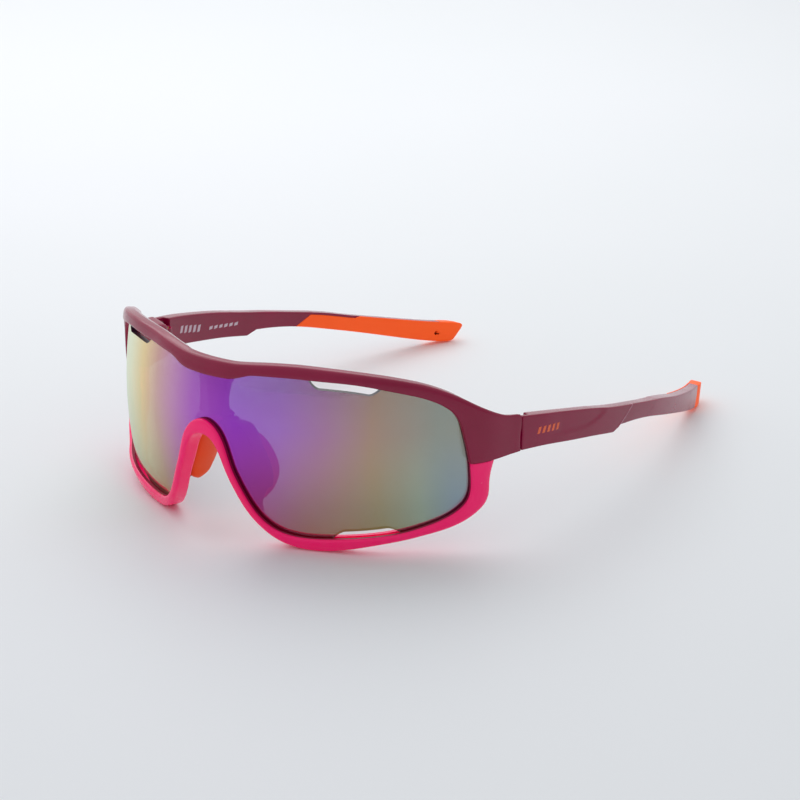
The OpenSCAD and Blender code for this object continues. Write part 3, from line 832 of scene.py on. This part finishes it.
def bars(inner, spans):
    """Row of slanted printed bars on the inner or outer face of a temple."""
    b = Build()
    for y0, w, z0, z1 in spans:
        rings = []
        for z in np.linspace(z0, z1, 6):
            y = y0 + np.array([0, w / 2, w, w, w / 2, 0]) + BAR_SLANT * (z - z0)
            x = temple_x(y) - THICK - BAR_LIFT if inner else temple_x(y) - relief(y, z) + 0.1 + BAR_LIFT
            rings.append(np.stack([x, ORIGIN_Y + SEAM_Y + y, 0 * y + z], -1))
        b.loft(rings)
    return b


def screw():
    """Hinge screw with a socket in its head."""
    b = Build()
    b.revolve([(0.02, 25.1), (0.4, 25.1), (0.42, 24.75), (0.5, 24.7), (1.25, 24.7), (1.4, 24.85),
               (1.4, 25.5), (0.75, 25.52), (0.75, 32.0), (0.6, 32.15), (0.02, 32.15)])
    return b


def insert():
    """Brass sleeve around the screw in the upper knuckle."""
    b = Build()
    b.revolve([(0.78, 30.55), (1.25, 30.55), (1.25, 32.12), (1.15, 32.22), (0.88, 32.22), (0.78, 32.12)])
    return b


# ---------------------------------------------------------------- pieces on their bodies
def put(ob, body, node=None):
    """Ties a piece to its body, and hides the CAD node that it replaces."""
    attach(ob, body)
    if node:
        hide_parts(node)


for make, node, slot in ((brow_frame, "brow_frame", "frame"), (lower_rim, "lower_rim", "rim"),
                         (lens, "lens", "lens"), (nose_carrier, "nose_carrier", "carrier")):
    put(make(), "front", node)

# pieces on both sides: name, build, materials, body, slot, node; a name that ends in _ takes the side
PAIRS = [
    ("nose_pad_shell_", nose_pad(), [SOFT_PAD], "front", "grip", "nose_pad_"),
    ("temple_shell_", temple(), [BURGUNDY, GROOVE_HIGHLIGHT], "temple_", "frame", "temple_"),
    ("temple_grip_shell_", grip(), [ORANGE, HOLE_SHADE], "temple_", "grip", "temple_grip_"),
    ("outer_mark_", bars(False, OUTER_BARS), [MARK], "temple_", "grip", None),
    ("inner_mark_", bars(True, INNER_BARS), [MARK_PALE], "temple_", "frame", None),
    ("hinge_screw_shell_", screw(), [STEEL], "front", "screw", "hinge_screw_"),
    ("hinge_insert_shell_", insert(), [BRASS], "front", "insert", "hinge_insert_")]
for side in ("left", "right"):
    for name, build, mats, body, slot, node in PAIRS:
        ob = (build if side == "left" else build.mirrored()).make(name + side, mats)
        put(ob, body + side if body.endswith("_") else body, node and node + side)


# ---------------------------------------------------------------- stage, light and camera
WORLD_DIM, WORLD_BRIGHT = 0.355, 0.935      # strength of the light away from and towards the bright side
BRIGHT_SIDE = (-0.80, 0.30, 0.52)
FLOOR_HALF = 4.0


def floor():
    n = Nodes("pale_floor")
    tone = n.noise(3.0, 2.0)
    col = n.blend(n.remap(tone, 0.3, 0.7, 0.0, 1.0), srgb(229, 231, 234), srgb(232, 233, 237))
    r = n.remap(n.noise(900.0, 2.0), 0.3, 0.7, 0.5, 0.6)
    shader = n.new("ShaderNodeBsdfPrincipled", Base_Color=col, Roughness=r, Specular_IOR_Level=0.25)
    mat = n.out(shader.outputs[0])
    b = bmesh.new()
    bmesh.ops.create_grid(b, x_segments=8, y_segments=8, size=FLOOR_HALF)
    me = bpy.data.meshes.new("floor")
    b.to_mesh(me)
    b.free()
    me.materials.append(mat)
    ob = bpy.data.objects.new("floor", me)
    bpy.context.scene.collection.objects.link(ob)


def light(name, place, target, size, power):
    """Square lamp at a place, aimed at a target."""
    data = bpy.data.lights.new(name, "AREA")
    data.energy, data.size = power, size
    ob = bpy.data.objects.new(name, data)
    ob.location = place
    ob.rotation_euler = (Vector(target) - Vector(place)).to_track_quat("-Z", "Y").to_euler()
    bpy.context.scene.collection.objects.link(ob)


def world():
    """Studio light from all around, brighter overhead and to the left behind the object."""
    w = bpy.data.worlds.new("studio")
    bpy.context.scene.world = w
    w.use_nodes = True
    t = w.node_tree
    t.nodes.clear()
    way = t.nodes.new("ShaderNodeTexCoord")
    dot = t.nodes.new("ShaderNodeVectorMath")
    dot.operation = "DOT_PRODUCT"
    dot.inputs[1].default_value = BRIGHT_SIDE
    level = t.nodes.new("ShaderNodeMapRange")
    for k, value in enumerate((-0.9, 0.9, WORLD_DIM, WORLD_BRIGHT), 1):
        level.inputs[k].default_value = value
    bg = t.nodes.new("ShaderNodeBackground")
    bg.inputs[0].default_value = (0.965, 0.99, 1.0, 1)
    out = t.nodes.new("ShaderNodeOutputWorld")
    t.links.new(way.outputs["Generated"], dot.inputs[0])
    t.links.new(dot.outputs["Value"], level.inputs[0])
    t.links.new(level.outputs[0], bg.inputs[1])
    t.links.new(bg.outputs[0], out.inputs[0])


def camera(place, azimuth, elevation, roll):
    """Camera at a place, looking from an azimuth and elevation, rolled about its view, in degrees."""
    az, el, roll = (math.radians(a) for a in (azimuth, elevation, roll))
    level = Vector((math.cos(az), math.sin(az), 0))
    behind = Vector((math.sin(az) * math.cos(el), -math.cos(az) * math.cos(el), math.sin(el)))
    upright = level.cross(-behind)
    right = math.cos(roll) * level + math.sin(roll) * upright
    up = math.cos(roll) * upright - math.sin(roll) * level
    cam = bpy.data.cameras.new("camera")
    cam.lens, cam.sensor_width = 117, 36
    cam.clip_start, cam.clip_end = 0.01, 50
    ob = bpy.data.objects.new("camera", cam)
    ob.matrix_world = Matrix([(right[k], up[k], behind[k], place[k]) for k in range(3)] + [(0, 0, 0, 1)])
    bpy.context.scene.collection.objects.link(ob)
    bpy.context.scene.camera = ob


floor()
world()
light("back_left", (-0.42, 0.30, 0.5), (-0.38, 0.25, 0.0), 0.8, 2.2)
camera((0.42838, -0.47888 + ORIGIN_Y * MM, 0.27361), 37.32, 20.11, 0.4665)
bpy.context.scene.view_settings.view_transform = "Standard"
